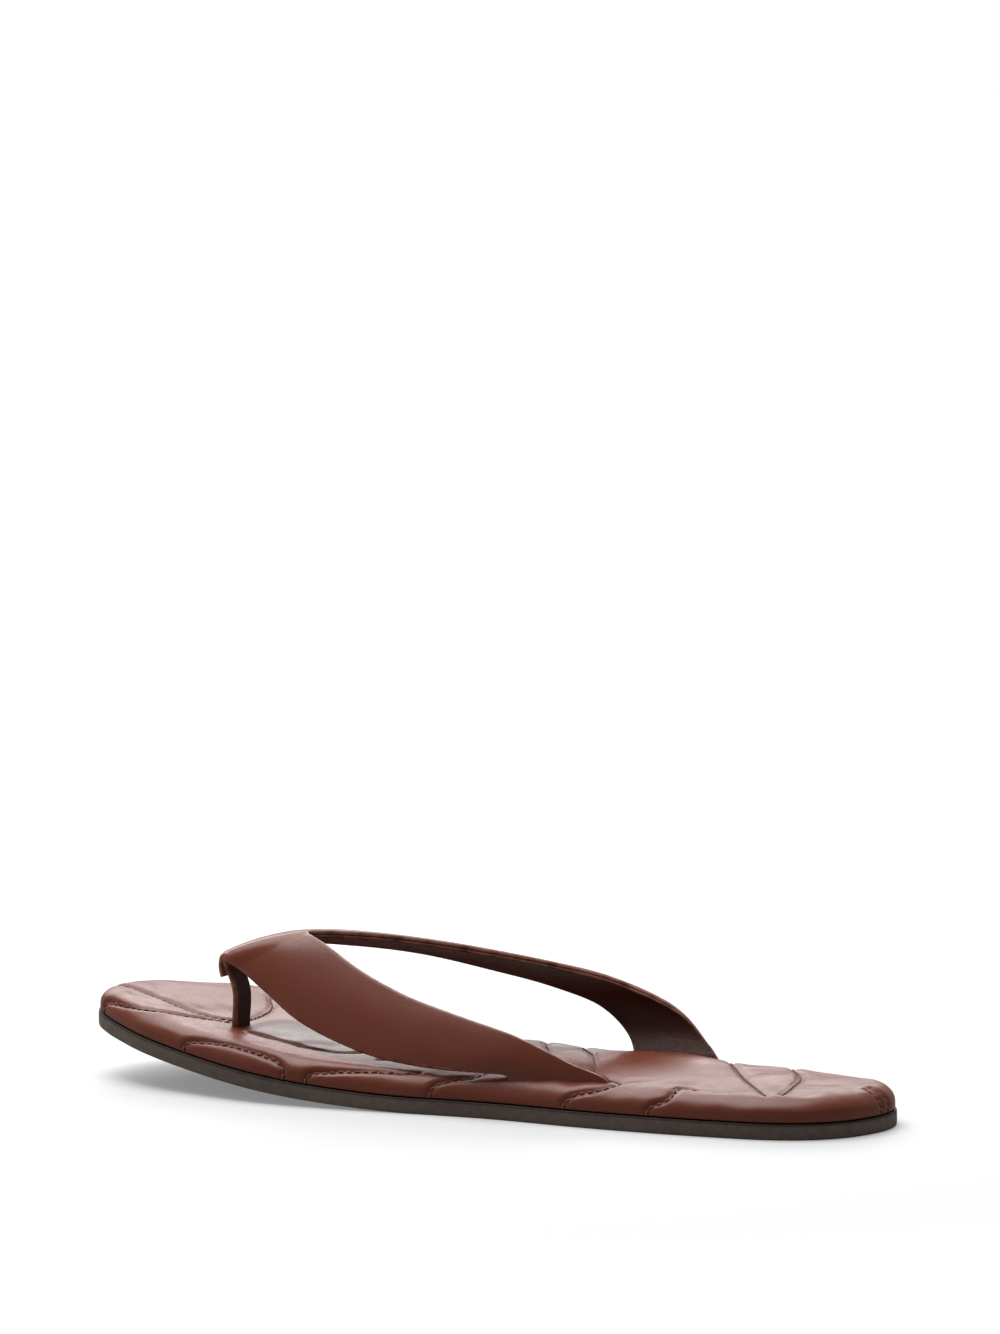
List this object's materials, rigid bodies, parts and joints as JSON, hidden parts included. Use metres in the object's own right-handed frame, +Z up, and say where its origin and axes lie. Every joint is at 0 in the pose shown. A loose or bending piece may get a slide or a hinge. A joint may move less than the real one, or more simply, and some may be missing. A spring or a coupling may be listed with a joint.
{
  "type": "flip flop",
  "caption": "Right-foot leather flip flop with a quilted padded footbed, a wide V strap, a flat toe post and a thin sole that curls up at the toe.",
  "frame": {"origin": "middle of the object's bounding box in plan, on the plane of the sole's flat underside", "axes": "+Y towards the toe, +Z up, +X towards the outer side of the right foot"},
  "size_m": [0.0912, 0.2588, 0.0473],
  "materials": {
    "nappa": "smooth semi-gloss reddish-brown nappa leather with soft creases",
    "lining": "matt dark brown lining leather, flesh side",
    "outsole": "smooth dark brown sole with a satin edge",
    "fibreboard": "pressed fibre insole board",
    "felt": "needled felt filler",
    "foam": "soft latex foam",
    "scrim": "thin woven backing",
    "wadding": "white polyester wadding",
    "thread": "bonded polyester stitching thread, a little lighter than the leather"
  },
  "bodies": {
    "root": {"outsole": "outsole", "bottom_filler": "felt", "insole_board": "fibreboard", "footbed_foam": "foam", "quilt_backing": "scrim", "quilt_wadding": "wadding", "footbed_cover": "nappa", "strap_leather": "nappa", "strap_lining": "lining", "toe_post_leather": "nappa", "toe_post_lining": "lining", "quilt_thread_01": "thread", "quilt_thread_02": "thread", "quilt_thread_03": "thread", "quilt_thread_04": "thread", "quilt_thread_05": "thread", "quilt_thread_06": "thread", "quilt_thread_07": "thread", "quilt_thread_08": "thread", "quilt_thread_09": "thread", "quilt_thread_10": "thread", "quilt_thread_11": "thread", "quilt_thread_12": "thread", "quilt_thread_13": "thread"}
  },
  "joints": []
}
